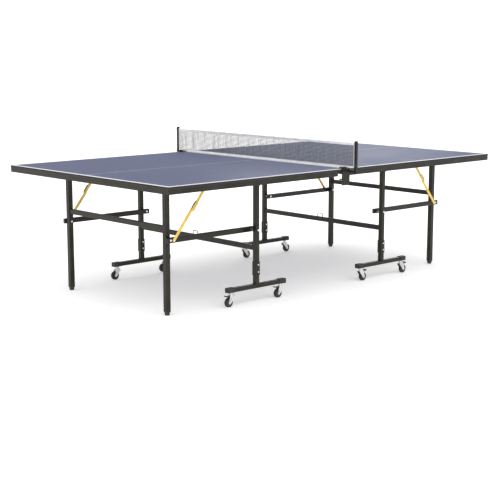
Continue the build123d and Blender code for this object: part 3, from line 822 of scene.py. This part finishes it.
def knee_clip(half, side):
    """The clip along the upper edge of one upper stay, and the rivet of its knee."""
    low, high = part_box(f"stay_uppers_{half}")
    knee_x, head_x = low.x + KNEE_R, high.x - STAY_END_R
    if half == "b":
        knee_x, head_x = high.x - KNEE_R, low.x + STAY_END_R
    knee = Vector((knee_x, side * (high.y - IN_FROM_FACE), low.z + KNEE_R))
    run = Vector((head_x, knee.y, high.z - STAY_END_R)) - knee
    turn = Matrix.Rotation(Vector((1, 0)).angle_signed(run.xz), 4, "Y")
    bm = bmesh.new()
    block(bm, (0, 0, 0), (CLIP_LENGTH, CLIP_THICK, CLIP_WIDTH))
    corners = [e for e in bm.edges if run_along(e, 1) > TINY]
    soften(bm, corners, 0.48 * CLIP_WIDTH, 8)
    rims = [e for e in bm.edges if run_along(e, 1) < TINY and e.is_manifold]
    rims = [e for e in rims if e.calc_face_angle(0) > radians(60)]
    soften(bm, rims, CLIP_EDGE, 2)
    rise = CLIP_RISE if run.x > 0 else -CLIP_RISE
    shift = Matrix.Translation((CLIP_LENGTH / 2 + CLIP_START, 0, rise))
    bmesh.ops.transform(bm, matrix=Matrix.Translation(knee) @ turn @ shift, verts=bm.verts)
    dome = [(radius, side * height) for radius, height in RIVET_DOME]
    turned(bm, dome, 24, knee + Vector((0, side * RIVET_LIFT, 0)), "Y", closed=False)
    where = "front" if side < 0 else "back"
    make_piece(f"knee_clip_{half}_{where}", bm, f"stay_upper_{half}", "zinc_steel", oiled_steel)


for half in "ab":
    for side in (-1, 1):
        knee_clip(half, side)

# %% [markdown]
# ## Welds
# The crossbars and the beams' stubs are welded on before the steel is painted. A hand weld is a
# chain of small overlapping drops of metal around the joint, so a run of low-resolution balls,
# half sunk in the steel and a little uneven in size, is close to it and costs few faces.

# %% Weld helper
DROP = 0.0022
X, Y, Z = Vector((1, 0, 0)), Vector((0, 1, 0)), Vector((0, 0, 1))
dice = random.Random(7)


def weld_around(bm, middle, first, second, first_size, second_size):
    """Drops of weld around a rectangle that lies on two unit axes."""
    across, up = first * (first_size / 2), second * (second_size / 2)
    signs = [(-1, -1), (1, -1), (1, 1), (-1, 1)]
    corners = [middle + a * across + b * up for a, b in signs]
    for start, end in zip(corners, corners[1:] + corners[:1]):
        steps = round((end - start).length / DROP)
        for step in range(steps):
            size = DROP * dice.uniform(0.85, 1.15)
            place = start.lerp(end, (step + dice.uniform(-0.1, 0.1)) / steps)
            bmesh.ops.create_icosphere(
                bm, subdivisions=1, radius=size, matrix=Matrix.Translation(place)
            )


# %% Welds
BAR_HEIGHT = 0.030
BEAM_WIDTH = 0.030
LEG_WIDTH = 0.028
CAP_WALL = 0.0025

for half in "ab":
    for bar, body in (("end_crossbar", "end_frame"), ("trolley_crossbar", "trolley")):
        low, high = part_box(f"{bar}_{half}")
        middle_x = (low.x + high.x) / 2
        middle_z = (low.z + min(high.z, low.z + BAR_HEIGHT)) / 2
        bm = bmesh.new()
        for y in (low.y, high.y):
            middle = Vector((middle_x, y, middle_z))
            weld_around(bm, middle, X, Z, high.x - low.x, BAR_HEIGHT)
        if body == "trolley":
            sleeve_low, sleeve_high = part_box(f"leg_sleeves_{half}")
            stub_x = (sleeve_low.x + sleeve_high.x) / 2
            stub_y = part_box(f"caster_beams_{half}")[1].y - BEAM_WIDTH / 2
            beam_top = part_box(f"beam_caps_{half}")[1].z - CAP_WALL
            for side in (-1, 1):
                middle = Vector((stub_x, side * stub_y, beam_top))
                weld_around(bm, middle, X, Y, LEG_WIDTH, LEG_WIDTH)
        make_piece(f"welds_{body}_{half}", bm, f"{body}_{half}", "black_steel", black_coat)

# %% [markdown]
# ## Screws under the boards
# Every bracket is fixed to its board with short screws that have a hexagonal head on a washer.
# They show when a half is folded up. Two low-resolution cones make a screw, which is repeated at
# each corner of a bracket and turned at random, because a row of heads never lines up.

# %% Board screws
BRACKET_FACE = 0.745
WASHER_THICK = 0.0008
HEAD_HEIGHT = 0.0022
HEAD_DROP = 0.0017
# Each bracket has its distance from the net, its distance from the middle line, and how far its
# screws stand from its own middle along and across the table.
SCREWED = [
    (0.550, 0.545, 0.025, 0.0215),
    (1.150, 0.465, 0.025, 0.0225),
    (0.885, 0.5195, 0.016, 0.0060),
]
LATCH_BRACKET = (0.258, 0.0, 0.017, 0.0275)


def screw(bm, x, y):
    """A washer and a hexagonal head under the board, turned at random."""
    washer = Matrix.Translation((x, y, BRACKET_FACE - WASHER_THICK / 2))
    bmesh.ops.create_cone(
        bm, cap_ends=True, segments=12, radius1=0.0036, radius2=0.0040, depth=WASHER_THICK,
        matrix=washer,
    )
    turn = Matrix.Rotation(dice.uniform(0, pi), 4, "Z")
    head = Matrix.Translation((x, y, BRACKET_FACE - HEAD_DROP)) @ turn
    bmesh.ops.create_cone(
        bm, cap_ends=True, segments=6, radius1=0.0026, radius2=0.0030, depth=HEAD_HEIGHT,
        matrix=head,
    )


spots = [(x, side * y, dx, dy) for x, y, dx, dy in SCREWED for side in (-1, 1)]
for half, way in (("a", -1), ("b", 1)):
    bm = bmesh.new()
    for x, y, dx, dy in spots + [LATCH_BRACKET]:
        for across in (-dx, dx):
            for along in (-dy, dy):
                screw(bm, way * x + across, y + along)
    make_piece(f"board_screws_{half}", bm, f"top_{half}", "zinc_steel", zinc_plate, smooth=False)

# %% [markdown]
# ## Net ties
# A webbing loop at the top and at the foot of the net holds each end to its post. A block with
# rounded corners, opened at its two ends and given a wall, is such a loop.

# %% Net ties
post_low, post_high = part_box("net_posts")
POST_WIDTH = 0.016
TIE_HEIGHT = 0.009
TIE_WALL = 0.0011
TIE_PLAY = 0.0002
TIE_CORNER = 0.003
FOOT_TIE_RISE = 0.006
WEBBING_BLACK = (0.016, 0.016, 0.017, 1)
# The faded webbing colour is also painted as shade in the hollows of the weave.
WEBBING_FADED_AND_SHADED = (0.045, 0.045, 0.044, 1)


def tie(bm, y, z):
    """A loop around a post."""
    part = bmesh.new()
    across = POST_WIDTH + 2 * TIE_WALL + TIE_PLAY
    block(part, (NET_X, y, z), (across, across, TIE_HEIGHT))
    uprights = [e for e in part.edges if run_along(e, 2) > TINY]
    soften(part, uprights, TIE_CORNER, 4)
    ends = [f for f in part.faces if abs(f.normal.z) > 0.9]
    bmesh.ops.delete(part, geom=ends, context="FACES")
    bmesh.ops.solidify(part, geom=part.faces, thickness=TIE_WALL)
    join(bm, part)


bm = bmesh.new()
for y in (post_low.y + POST_WIDTH / 2, post_high.y - POST_WIDTH / 2):
    for z in (NET_FOOT + FOOT_TIE_RISE, NET_TOP - TOP_TAPE / 2):
        tie(bm, y, z)
tie_black = cloth("tie_webbing", WEBBING_BLACK, WEBBING_FADED_AND_SHADED, 0.0012)
make_piece("net_ties", bm, "top_a", "net_mesh", tie_black)

# %% [markdown]
# ## Floor
# The floor is a large pale plane, lit a little from below like a light table, so that shadows
# on it stay faint. It is part of the studio, not of the table.

# %% Floor
FLOOR_GLOW = 0.30
FLOOR_HALF_SIZE = 30
PAPER = (0.93, 0.93, 0.93, 1)
PAPER_BRIGHT = (0.96, 0.96, 0.96, 1)

bm = bmesh.new()
bmesh.ops.create_grid(bm, x_segments=1, y_segments=1, size=FLOOR_HALF_SIZE)
floor_mesh = bpy.data.meshes.new("floor")
bm.to_mesh(floor_mesh)
bm.free()
floor = bpy.data.objects.new("floor", floor_mesh)
scene.collection.objects.link(floor)
paper = Finish(
    "floor_paper", Specular_IOR_Level=0.1, Roughness=0.9, Emission_Color=WHITE,
    Emission_Strength=FLOOR_GLOW,
)
paper_white = paper.wear(Base_Color=paper.mix(paper.noise(0.6, 3), PAPER, PAPER_BRIGHT))
floor_mesh.materials.append(paper_white)
print("floor is", 2 * FLOOR_HALF_SIZE, "m wide")
